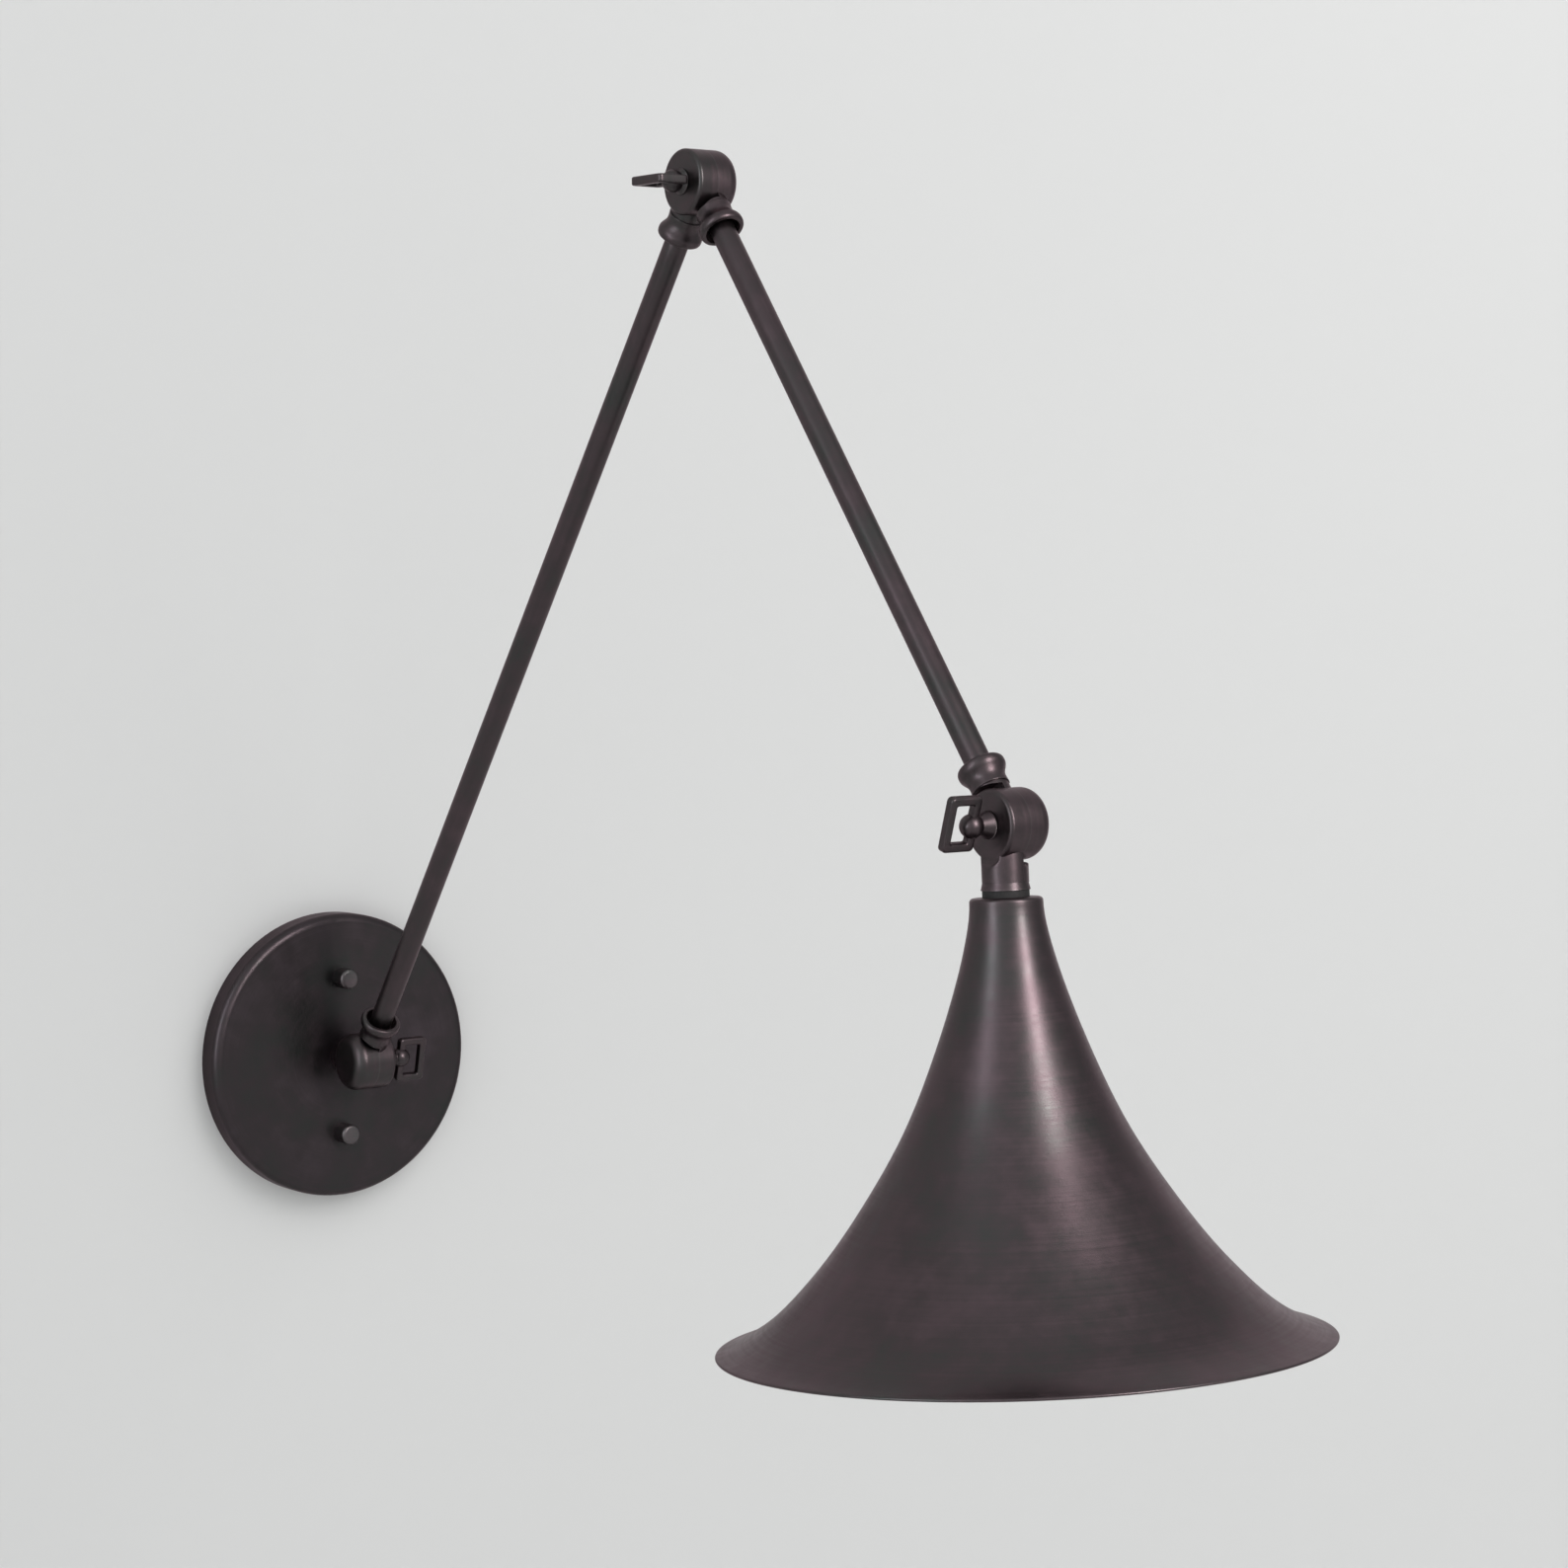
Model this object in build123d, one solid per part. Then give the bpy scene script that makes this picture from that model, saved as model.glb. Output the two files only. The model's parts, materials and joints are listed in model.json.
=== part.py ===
"""Swivel wall sconce: canopy, two-piece arm on three half-lap swivels, trumpet shade."""
from build123d import *
from math import cos, radians, sin, sqrt
import os

# Frame: wall plane at Y = 0, -Y out of the wall, +Z up, origin behind the canopy's centre.
# Every swivel turns about an axis along X, and the arm lies in the plane X = 0.

# Canopy and what is behind it
PLATE_DIA = 127.0
PLATE_DEPTH = 12.0
PLATE_WALL = 1.2
PLATE_RIM_ROUND = 3.5
STUD_SPACING = 69.85
STUD_DIA = 4.0
STUD_LENGTH = 16.6
STUD_HOLE_DIA = 4.6
THREAD_LEAD_IN = 0.5
CAP_DIA = 9.0
CAP_HEIGHT = 8.0
CAP_ROUND = 1.4
STRAP_LENGTH = 110.0
STRAP_WIDTH = 24.0
STRAP_THICK = 1.6
STRAP_HOLE_DIA = 14.0
SLOT_SPACING = 88.9
SLOT_WIDTH = 4.8
SLOT_LENGTH = 10.0
GROUND_SCREW_DIA = 3.5
GROUND_HEAD_DIA = 7.0
GROUND_HEAD_HEIGHT = 2.2
GROUND_HEAD_ROUND = 1.2
GROUND_SLOT = 0.9
GROUND_SCREW_DROP = 18.0
WIRE_TUBE_DIA = 8.0
WIRE_TUBE_BORE = 5.4
WIRE_TUBE_IN_NECK = 5.0
WIRE_TUBE_LENGTH = 12.0
SWIVEL_WASHER_DIA = 16.0
SWIVEL_WASHER_THICK = 1.0
SWIVEL_NUT_FLATS = 13.0
SWIVEL_NUT_THICK = 3.0

# Arm
PIVOT_STANDOFF = 21.0
LOWER_ARM = 448.2
LOWER_ANGLE = 35.57
UPPER_ARM = 295.0
UPPER_ANGLE = 141.85
SHADE_ANGLE = 175.93
TUBE_DIA = 9.525
TUBE_WALL = 1.0

# Half-lap swivels
EYE_DIA = 25.0
KEYED_DEPTH = 8.5
KEYED_ROUND = 1.5
DOMED_DEPTH = 10.5
DOMED_ROUND = 5.0
SHOULDER_GAP = 2.0
WALL_NECK_DIA = 12.5
WAIST_DIA = 13.0
COVE_START = 15.5
COVE_DEPTH = 0.1
BEAD_DIA = 17.0
BEAD_ROUND = 2.5
BEAD_AT = 22.0
CUP_DIA = 13.6
CUP_FLOOR = 19.5
SEAT_DEPTH = 4.0
PIVOT_HOLE_DEPTH = 8.7
FRICTION_WASHER_DIA = 8.6
FRICTION_WASHER_THICK = 1.0
POCKET_INNER_DIA = 10.8
POCKET_OUTER_DIA = 18.0
POCKET_DEPTH = 4.0
WIRE_HOLE_DIA = 3.8
WIRE_HOLE_OFFSET = 2.6

# Wing keys
KEY_WIDTH = 13.4
KEY_LENGTH = 19.7
KEY_BAR = 3.0
KEY_CORNER = 2.6
KEY_EDGE = 0.7
KEY_BALL_DIA = 7.0
KEY_STEM_DIA = 5.0
KEY_STEM_LENGTH = 19.0
BASE_KEY_STANDOFF = 7.5
ELBOW_KEY_STANDOFF = 2.5
SHADE_KEY_STANDOFF = 6.0
BASE_KEY_TURN = 12.0
ELBOW_KEY_TURN = 90.0
SHADE_KEY_TURN = 11.3

# Shade and its neck
SHADE_SHIFT = 2.2
NECK_DIA = 16.0
NECK_TOP = 13.0
NECK_TOP_ROUND = 2.4
NECK_FOOT_DIA = 17.2
NECK_FLARE_START = 20.0
NECK_FLARE_ROUND = 3.0
NECK_END = 22.4
NECK_WASHER_DIA = 16.3
NECK_WASHER_THICK = 2.5
SHADE_HEIGHT = 152.4
SHADE_RIM_DIA = 212.0
SHADE_TOP_DIA = 25.4
SHADE_TOP_ROUND = 1.5
SHADE_WALL = 1.0
# Fractions of the height below the top round, and of the flare from top to rim
SHADE_CURVE = [
    (0.085, 0.016),
    (0.204, 0.069),
    (0.361, 0.161),
    (0.518, 0.275),
    (0.676, 0.432),
    (0.794, 0.573),
    (0.872, 0.686),
    (0.951, 0.831),
]
SHADE_TUBE_DIA = 10.0
SHADE_TUBE_BORE = 7.0
SHADE_TUBE_IN_NECK = 5.4
SHADE_TUBE_LENGTH = 41.0
SHADE_HOLE_DIA = 10.6
INNER_WASHER_DIA = 17.0
INNER_WASHER_THICK = 1.0
SHADE_NUT_FLATS = 13.0
SHADE_NUT_THICK = 3.0

# Lampholder, medium base
SOCKET_CAP_TOP = 52.0
SOCKET_CAP_DIA = 34.0
SOCKET_CAP_WALL = 1.0
SOCKET_CAP_HEIGHT = 17.0
SOCKET_CAP_ROUND = 3.4
SOCKET_COLLAR_DIA = 15.0
SOCKET_COLLAR_HEIGHT = 5.0
SOCKET_BODY_WALL = 1.9
SOCKET_BODY_END = 106.0
SOCKET_FLOOR_THICK = 3.0
SOCKET_LIP_ROUND = 0.9
SOCKET_WIRE_HOLE_DIA = 3.0
SOCKET_WIRE_SPACING = 13.0
SOCKET_NUT_ROOM = 4.0
INSULATOR_THICK = 3.5
INSULATOR_RING_BORE = 18.4
INSULATOR_RING_HEIGHT = 4.5
SHELL_BORE = 26.6
SHELL_WALL = 0.5
SHELL_LENGTH = 24.5
CONTACT_WIDTH = 6.0
CONTACT_LENGTH = 16.0
CONTACT_THICK = 0.8
CONTACT_RISE = 3.2

# Clearances on radius
FIT = 0.03
RUNNING_FIT = 0.08
LOOSE_FIT = 0.15

PIVOT_OUT = PLATE_DEPTH + PIVOT_STANDOFF
SHOULDER_R = EYE_DIA / 2 + SHOULDER_GAP
SEAT_END = CUP_FLOOR - SEAT_DEPTH
SHADE_TOP = NECK_END + NECK_WASHER_THICK
REACH = 3 * EYE_DIA


def towards(angle):
    """Unit vector in the arm's plane, at an angle from straight up towards the room."""
    return Vector(0, -sin(radians(angle)), cos(radians(angle)))


BASE_PIVOT = Vector(0, -PIVOT_OUT, 0)
ELBOW_PIVOT = BASE_PIVOT + towards(LOWER_ANGLE) * LOWER_ARM
SHADE_PIVOT = ELBOW_PIVOT + towards(UPPER_ANGLE) * UPPER_ARM


def at_pivot(shape, pivot, angle):
    """Put a shape made along +Z at a swivel, pointing along the given angle."""
    return Pos(*pivot) * Rot(X=angle) * shape


def from_wall(shape):
    """Lay a shape made along +Z so that it stands out of the wall."""
    return Rot(X=90) * shape


def turned(corners):
    """Spin an outline of (radius, height, rounding) corners about Z."""
    points = [(r, height) for r, height, _ in corners]
    rounds = [rounding for _, _, rounding in corners]
    outline = make_face(FilletPolyline(*points, radius=rounds, close=True))
    return Rot(X=90) * revolve(outline, Axis.Y)


def rod(dia, start, end):
    """Round bar along Z between two heights."""
    bar = Cylinder(dia / 2, end - start, align=(Align.CENTER, Align.CENTER, Align.MIN))
    return Pos(0, 0, start) * bar


def tube(dia, bore, start, end):
    """Round tube along Z between two heights."""
    return rod(dia, start, end) - rod(bore, start, end)


def hex_nut(flats, bore, start, thick):
    """Hexagon nut along Z with lightly turned corners."""
    hexagon = RegularPolygon(flats / 2, 6, major_radius=False)
    nut = Pos(0, 0, start) * extrude(hexagon, thick)
    return nut - rod(bore, start, start + thick)


# Wall end

def mounting_strap():
    """Flat bar with two screw slots, two stud holes, a wire hole and an earth screw hole."""
    bar = extrude(RectangleRounded(STRAP_WIDTH, STRAP_LENGTH, STRAP_WIDTH * 0.25), STRAP_THICK)
    slot = extrude(SlotOverall(SLOT_LENGTH, SLOT_WIDTH, rotation=90), STRAP_THICK)
    for side in (-1, 1):
        bar -= Pos(0, side * SLOT_SPACING / 2, 0) * slot
        bar -= Pos(0, side * STUD_SPACING / 2, 0) * rod(STUD_DIA + 2 * FIT, 0, STRAP_THICK)
    bar -= rod(STRAP_HOLE_DIA, 0, STRAP_THICK)
    bar -= Pos(0, -GROUND_SCREW_DROP, 0) * rod(GROUND_SCREW_DIA + 2 * FIT, 0, STRAP_THICK)
    return from_wall(bar)


def plate_studs():
    """Two headless screws through the strap and the canopy."""
    radius = STUD_DIA / 2
    stud = turned([
        (0, 0, 0),
        (radius, 0, 0),
        (radius, STUD_LENGTH - THREAD_LEAD_IN, 0),
        (radius - THREAD_LEAD_IN, STUD_LENGTH, 0),
        (0, STUD_LENGTH, 0),
    ])
    return Compound([
        from_wall(Pos(0, side * STUD_SPACING / 2, 0) * stud)
        for side in (-1, 1)
    ])


def ground_screw():
    """Slotted pan-head earth screw in the strap."""
    head_top = STRAP_THICK + GROUND_HEAD_HEIGHT
    screw = turned([
        (0, 0, 0),
        (GROUND_SCREW_DIA / 2, 0, 0),
        (GROUND_SCREW_DIA / 2, STRAP_THICK, 0),
        (GROUND_HEAD_DIA / 2, STRAP_THICK, 0),
        (GROUND_HEAD_DIA / 2, head_top, GROUND_HEAD_ROUND),
        (0, head_top, 0),
    ])
    top_centre = (Align.CENTER, Align.CENTER, Align.MAX)
    slot = Box(GROUND_HEAD_DIA, GROUND_SLOT, GROUND_SLOT, align=top_centre)
    screw -= Pos(0, 0, head_top) * slot
    return from_wall(Pos(0, -GROUND_SCREW_DROP, 0) * screw)


def back_plate():
    """Spun canopy: a shallow dish with a rounded rim, open to the wall."""
    inner_round = PLATE_RIM_ROUND - PLATE_WALL
    hole = WIRE_TUBE_DIA / 2 + RUNNING_FIT
    dish = turned([
        (hole, PLATE_DEPTH, 0),
        (PLATE_DIA / 2, PLATE_DEPTH, PLATE_RIM_ROUND),
        (PLATE_DIA / 2, 0, 0),
        (PLATE_DIA / 2 - PLATE_WALL, 0, 0),
        (PLATE_DIA / 2 - PLATE_WALL, PLATE_DEPTH - PLATE_WALL, inner_round),
        (hole, PLATE_DEPTH - PLATE_WALL, 0),
    ])
    for side in (-1, 1):
        dish -= Pos(0, side * STUD_SPACING / 2, 0) * rod(STUD_HOLE_DIA, 0, PLATE_DEPTH)
    return from_wall(dish)


def cap_nuts():
    """Two round-nosed nuts that close the canopy's screws."""
    top = PLATE_DEPTH + CAP_HEIGHT
    bore = STUD_DIA / 2 + FIT
    cap = turned([
        (bore, PLATE_DEPTH, 0),
        (CAP_DIA / 2, PLATE_DEPTH, 0),
        (CAP_DIA / 2, top, CAP_ROUND),
        (0, top, 0),
        (0, STUD_LENGTH + 0.5, 0),
        (bore, STUD_LENGTH + 0.5, 0),
    ])
    return Compound([
        from_wall(Pos(0, side * STUD_SPACING / 2, 0) * cap)
        for side in (-1, 1)
    ])


def center_nipple():
    """Threaded wire tube from the knuckle's neck into the canopy."""
    outer = PLATE_DEPTH + WIRE_TUBE_IN_NECK
    return from_wall(tube(WIRE_TUBE_DIA, WIRE_TUBE_BORE, outer - WIRE_TUBE_LENGTH, outer))


def swivel_washer():
    """Washer that slides on the canopy's inner face as the arm swivels."""
    inner_face = PLATE_DEPTH - PLATE_WALL
    bore = WIRE_TUBE_DIA + 2 * FIT
    washer = tube(SWIVEL_WASHER_DIA, bore, inner_face - SWIVEL_WASHER_THICK, inner_face)
    return from_wall(washer)


def nipple_lock_nut():
    """Nut that draws the knuckle's neck against the canopy."""
    start = PLATE_DEPTH - PLATE_WALL - SWIVEL_WASHER_THICK - SWIVEL_NUT_THICK
    nut = hex_nut(SWIVEL_NUT_FLATS, WIRE_TUBE_DIA + 2 * FIT, start, SWIVEL_NUT_THICK)
    return from_wall(nut)


# Half-lap swivels

def eye(side, keyed):
    """Disc on one side of the mid-plane: flat-faced on the key's side, domed opposite."""
    depth = KEYED_DEPTH if keyed else DOMED_DEPTH
    rounding = KEYED_ROUND if keyed else DOMED_ROUND
    disc = turned([
        (0, 0, 0),
        (EYE_DIA / 2, 0, 0),
        (EYE_DIA / 2, depth, rounding),
        (0, depth, 0),
    ])
    return Rot(Y=90 * side) * disc


def knuckle_half(side, keyed, neck):
    """Eye and neck in one, the neck's shoulder hollowed to clear the other half's eye."""
    other_eye = Rot(Y=-90 * side) * rod(2 * SHOULDER_R, 0, REACH)
    half = eye(side, keyed) + (neck - other_eye)
    along_pivot = Rot(Y=90 * side)
    recess_dia = FRICTION_WASHER_DIA + 4 * LOOSE_FIT
    half -= along_pivot * rod(recess_dia, 0, FRICTION_WASHER_THICK / 2)
    half -= along_pivot * tube(POCKET_OUTER_DIA, POCKET_INNER_DIA, 0, POCKET_DEPTH)
    if keyed:
        half -= along_pivot * rod(KEY_STEM_DIA + 2 * LOOSE_FIT, 0, REACH)
    else:
        half -= along_pivot * rod(KEY_STEM_DIA + 2 * RUNNING_FIT, 0, PIVOT_HOLE_DEPTH)
    return half


def wire_hole(side, end):
    """Passage from the pocket round the pivot up into the neck."""
    start = (POCKET_OUTER_DIA + POCKET_INNER_DIA) / 4
    return Pos(side * WIRE_HOLE_OFFSET, 0, 0) * rod(WIRE_HOLE_DIA, start, end)


def cup_ferrule():
    """Turned neck with a cove, a bead and a cup round the tube's end."""
    waist = WAIST_DIA / 2
    seat = TUBE_DIA / 2 + FIT
    bead_centre = BEAD_DIA / 2 - BEAD_ROUND
    lip = BEAD_AT + sqrt(BEAD_ROUND ** 2 - (CUP_DIA / 2 - bead_centre) ** 2)
    bead_low = (bead_centre + BEAD_ROUND * cos(radians(50)), BEAD_AT - BEAD_ROUND * sin(radians(50)))
    inside = Polyline(
        (CUP_DIA / 2, lip),
        (CUP_DIA / 2, CUP_FLOOR),
        (seat, CUP_FLOOR),
        (seat, SEAT_END),
        (0, SEAT_END),
        (0, 0),
        (waist, 0),
        (waist, COVE_START),
    )
    cove_middle = (waist - COVE_DEPTH, (COVE_START + bead_low[1]) / 2)
    cove = ThreePointArc((waist, COVE_START), cove_middle, bead_low)
    bead = ThreePointArc(bead_low, (BEAD_DIA / 2, BEAD_AT), (CUP_DIA / 2, lip))
    outline = make_face(Curve() + [inside, cove, bead])
    return Rot(X=90) * revolve(outline, Axis.Y)


def arm_knuckle(side, keyed, pivot, angle):
    """Knuckle half with a cup ferrule, at one end of an arm tube."""
    half = knuckle_half(side, keyed, cup_ferrule())
    half -= wire_hole(side, SEAT_END)
    return at_pivot(half, pivot, angle)


def base_knuckle_wall_half():
    """Domed half whose neck stands on the canopy and holds the wire tube."""
    bore_end = PIVOT_STANDOFF - WIRE_TUBE_IN_NECK
    half = knuckle_half(-1, False, rod(WALL_NECK_DIA, 0, PIVOT_STANDOFF))
    half -= rod(WIRE_TUBE_DIA + 2 * FIT, bore_end, PIVOT_STANDOFF)
    half -= wire_hole(-1, bore_end)
    return at_pivot(half, BASE_PIVOT, -90)


def shade_knuckle_shade_half():
    """Flat-faced half whose round neck stands off the pivot and carries the shade."""
    shoulder = turned([
        (0, NECK_TOP, 0),
        (NECK_DIA / 2, NECK_TOP, NECK_TOP_ROUND),
        (NECK_DIA / 2, NECK_FLARE_START, NECK_FLARE_ROUND),
        (NECK_FOOT_DIA / 2, NECK_END, 0),
        (0, NECK_END, 0),
    ])
    neck = Pos(-SHADE_SHIFT, 0, 0) * shoulder + rod(WAIST_DIA, 0, NECK_FLARE_START)
    bore_end = NECK_END - SHADE_TUBE_IN_NECK
    half = knuckle_half(-1, True, neck)
    half -= Pos(-SHADE_SHIFT, 0, 0) * rod(SHADE_TUBE_DIA + 2 * FIT, bore_end, NECK_END)
    half -= wire_hole(-1, bore_end)
    return at_pivot(half, SHADE_PIVOT, SHADE_ANGLE)


def friction_washer(pivot):
    """Fibre washer let into both halves round the pivot."""
    bore = KEY_STEM_DIA + 2 * LOOSE_FIT
    washer = tube(FRICTION_WASHER_DIA, bore, 0, FRICTION_WASHER_THICK)
    return Pos(*pivot) * Rot(Y=90) * Pos(0, 0, -FRICTION_WASHER_THICK / 2) * washer


def wing_key(side, pivot, standoff, turn):
    """Pivot screw with a pierced rectangular grip and a ball where the stem meets it."""
    grip = RectangleRounded(KEY_WIDTH, KEY_LENGTH, KEY_CORNER)
    window = RectangleRounded(KEY_WIDTH - 2 * KEY_BAR, KEY_LENGTH - 2 * KEY_BAR, KEY_CORNER / 2)
    ring = extrude(grip - window, KEY_BAR / 2, both=True)
    ring = fillet(ring.edges().filter_by(GeomType.LINE).filter_by(Axis.Z, reverse=True), KEY_EDGE)
    ring = Rot(X=90) * Pos(KEY_WIDTH / 2, 0, 0) * ring
    ball = Pos(KEY_BAR / 2, 0, 0) * Sphere(KEY_BALL_DIA / 2)
    stem = Rot(Y=90) * rod(KEY_STEM_DIA, -KEY_STEM_LENGTH, KEY_BAR / 2)
    key = ring + ball + stem
    if side < 0:
        key = Rot(Z=180) * key
    reach = side * (KEYED_DEPTH + standoff)
    return Pos(*pivot) * Pos(reach, 0, 0) * Rot(X=turn) * key


# Arm tubes

def arm_tube(pivot, angle, length):
    """Straight tube seated in the ferrules at both of its ends."""
    pipe = tube(TUBE_DIA, TUBE_DIA - 2 * TUBE_WALL, SEAT_END, length - SEAT_END)
    return at_pivot(pipe, pivot, angle)


# Shade

def on_shade_axis(shape):
    """Place a shape made along +Z below the last swivel, on the shade's own axis."""
    return at_pivot(Pos(-SHADE_SHIFT, 0, 0) * shape, SHADE_PIVOT, SHADE_ANGLE)


def shade():
    """Trumpet spun from sheet: flat top, slim throat and a wide rolled-out mouth."""
    top_r = SHADE_TOP_DIA / 2
    rim_r = SHADE_RIM_DIA / 2
    start = SHADE_TOP + SHADE_TOP_ROUND
    flare = [
        (top_r + part_r * (rim_r - top_r), SHADE_TOP + part_h * SHADE_HEIGHT)
        for part_h, part_r in SHADE_CURVE
    ]
    rim = (rim_r, SHADE_TOP + SHADE_HEIGHT)
    outer = Spline([(top_r, start)] + flare + [rim], tangents=[(0, 1), (1, 0.28)])
    steps = [0.0, 0.06, 0.15, 0.27, 0.4, 0.55, 0.7, 0.82, 0.92, 1.0]
    inner_points = []
    for step in steps:
        along = outer % step
        inner_points.append(outer @ step + Vector(-along.Y, along.X) * SHADE_WALL)
    inner = Spline(inner_points, tangents=[outer % 0, outer % 1])
    tangent = outer % 1
    rim_middle = (outer @ 1 + inner @ 1) * 0.5 + Vector(tangent.X, tangent.Y) * SHADE_WALL / 2
    edge = ThreePointArc(outer @ 1, rim_middle, inner @ 1)
    hole = SHADE_HOLE_DIA / 2
    corner = JernArc(outer @ 0, (0, -1), SHADE_TOP_ROUND, -90)
    top = Polyline(
        corner @ 1,
        (hole, SHADE_TOP),
        (hole, start),
        inner @ 0,
    )
    outline = make_face(Curve() + [outer, edge, inner, corner, top])
    return on_shade_axis(Rot(X=90) * revolve(outline, Axis.Y))


def neck_washer():
    """Black ring that seats the shade under the neck."""
    ring = tube(NECK_WASHER_DIA, SHADE_HOLE_DIA, NECK_END, SHADE_TOP)
    return on_shade_axis(ring)


def shade_nipple():
    """Threaded wire tube from the neck to the lampholder."""
    start = NECK_END - SHADE_TUBE_IN_NECK
    pipe = tube(SHADE_TUBE_DIA, SHADE_TUBE_BORE, start, start + SHADE_TUBE_LENGTH)
    return on_shade_axis(pipe)


def shade_inner_washer():
    """Washer under the shade's flat top."""
    start = SHADE_TOP + SHADE_TOP_ROUND
    washer = tube(INNER_WASHER_DIA, SHADE_TUBE_DIA + 2 * FIT, start, start + INNER_WASHER_THICK)
    return on_shade_axis(washer)


def shade_lock_nut():
    """Nut that clamps the shade to the neck."""
    start = SHADE_TOP + SHADE_TOP_ROUND + INNER_WASHER_THICK
    nut = hex_nut(SHADE_NUT_FLATS, SHADE_TUBE_DIA + 2 * FIT, start, SHADE_NUT_THICK)
    return on_shade_axis(nut)


# Lampholder

CAP_END = SOCKET_CAP_TOP + SOCKET_CAP_HEIGHT
BODY_TOP = SOCKET_CAP_TOP + SOCKET_COLLAR_HEIGHT + SOCKET_NUT_ROOM
BODY_DIA = SOCKET_CAP_DIA - 2 * SOCKET_CAP_WALL - 2 * FIT
BODY_BORE = BODY_DIA - 2 * SOCKET_BODY_WALL
INSULATOR_TOP = BODY_TOP + SOCKET_FLOOR_THICK
CONTACT_SEAT = INSULATOR_TOP + INSULATOR_THICK
SHELL_TOP = CONTACT_SEAT + INSULATOR_RING_HEIGHT


def socket_cap():
    """Bell cap with a collar that screws onto the wire tube."""
    bore = SHADE_TUBE_DIA / 2 + FIT
    collar = SOCKET_COLLAR_DIA / 2
    outer = SOCKET_CAP_DIA / 2
    inner = outer - SOCKET_CAP_WALL
    shoulder = SOCKET_CAP_TOP + SOCKET_COLLAR_HEIGHT
    cap = turned([
        (bore, SOCKET_CAP_TOP, 0),
        (collar, SOCKET_CAP_TOP, 0),
        (collar, shoulder, 0),
        (outer, shoulder, SOCKET_CAP_ROUND),
        (outer, CAP_END, 0),
        (inner, CAP_END, 0),
        (inner, BODY_TOP, 0),
        (collar, BODY_TOP, 0),
        (collar, shoulder + SOCKET_CAP_WALL, 0),
        (bore, shoulder + SOCKET_CAP_WALL, 0),
    ])
    return on_shade_axis(cap)


def socket_body():
    """Moulded cup of the lampholder, with wire holes in its floor."""
    outer = BODY_DIA / 2
    inner = BODY_BORE / 2
    cup = turned([
        (0, BODY_TOP, 0),
        (outer, BODY_TOP, 0),
        (outer, SOCKET_BODY_END, SOCKET_LIP_ROUND),
        (inner, SOCKET_BODY_END, 0),
        (inner, INSULATOR_TOP, 0),
        (0, INSULATOR_TOP, 0),
    ])
    for side in (-1, 1):
        wire_way = rod(SOCKET_WIRE_HOLE_DIA, BODY_TOP, INSULATOR_TOP)
        cup -= Pos(0, side * SOCKET_WIRE_SPACING / 2, 0) * wire_way
    return on_shade_axis(cup)


def socket_insulator():
    """Cup that holds the centre contact low and carries the screw shell on its edge."""
    disc = rod(BODY_BORE - 2 * FIT, INSULATOR_TOP, SHELL_TOP)
    disc -= rod(INSULATOR_RING_BORE, CONTACT_SEAT, SHELL_TOP)
    for side in (-1, 1):
        wire_way = rod(SOCKET_WIRE_HOLE_DIA, INSULATOR_TOP, CONTACT_SEAT)
        disc -= Pos(0, side * SOCKET_WIRE_SPACING / 2, 0) * wire_way
    return on_shade_axis(disc)


def socket_screw_shell():
    """Thin screw shell with an outturned flange at its foot."""
    bore = SHELL_BORE / 2
    foot = BODY_BORE / 2 - FIT
    shell = turned([
        (bore, SHELL_TOP, 0),
        (foot, SHELL_TOP, 0),
        (foot, SHELL_TOP + SHELL_WALL, 0),
        (bore + SHELL_WALL, SHELL_TOP + SHELL_WALL, 0),
        (bore + SHELL_WALL, SHELL_TOP + SHELL_LENGTH, 0),
        (bore, SHELL_TOP + SHELL_LENGTH, 0),
    ])
    return on_shade_axis(shell)


def socket_contact():
    """Bent spring strip that meets the tip of a lamp."""
    foot = CONTACT_LENGTH / 2
    path = [
        (-foot, 0),
        (foot, 0),
        (foot, CONTACT_THICK),
        (foot * 0.25, CONTACT_THICK + CONTACT_RISE),
        (-foot * 0.4, CONTACT_THICK + CONTACT_RISE),
        (-foot * 0.4, CONTACT_RISE),
        (foot * 0.2, CONTACT_RISE),
        (foot * 0.8, CONTACT_THICK),
        (-foot, CONTACT_THICK),
    ]
    outline = make_face(Polyline(*path, close=True))
    strip = extrude(outline, CONTACT_WIDTH / 2, both=True)
    return on_shade_axis(Pos(0, 0, CONTACT_SEAT) * Rot(X=90) * strip)


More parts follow.
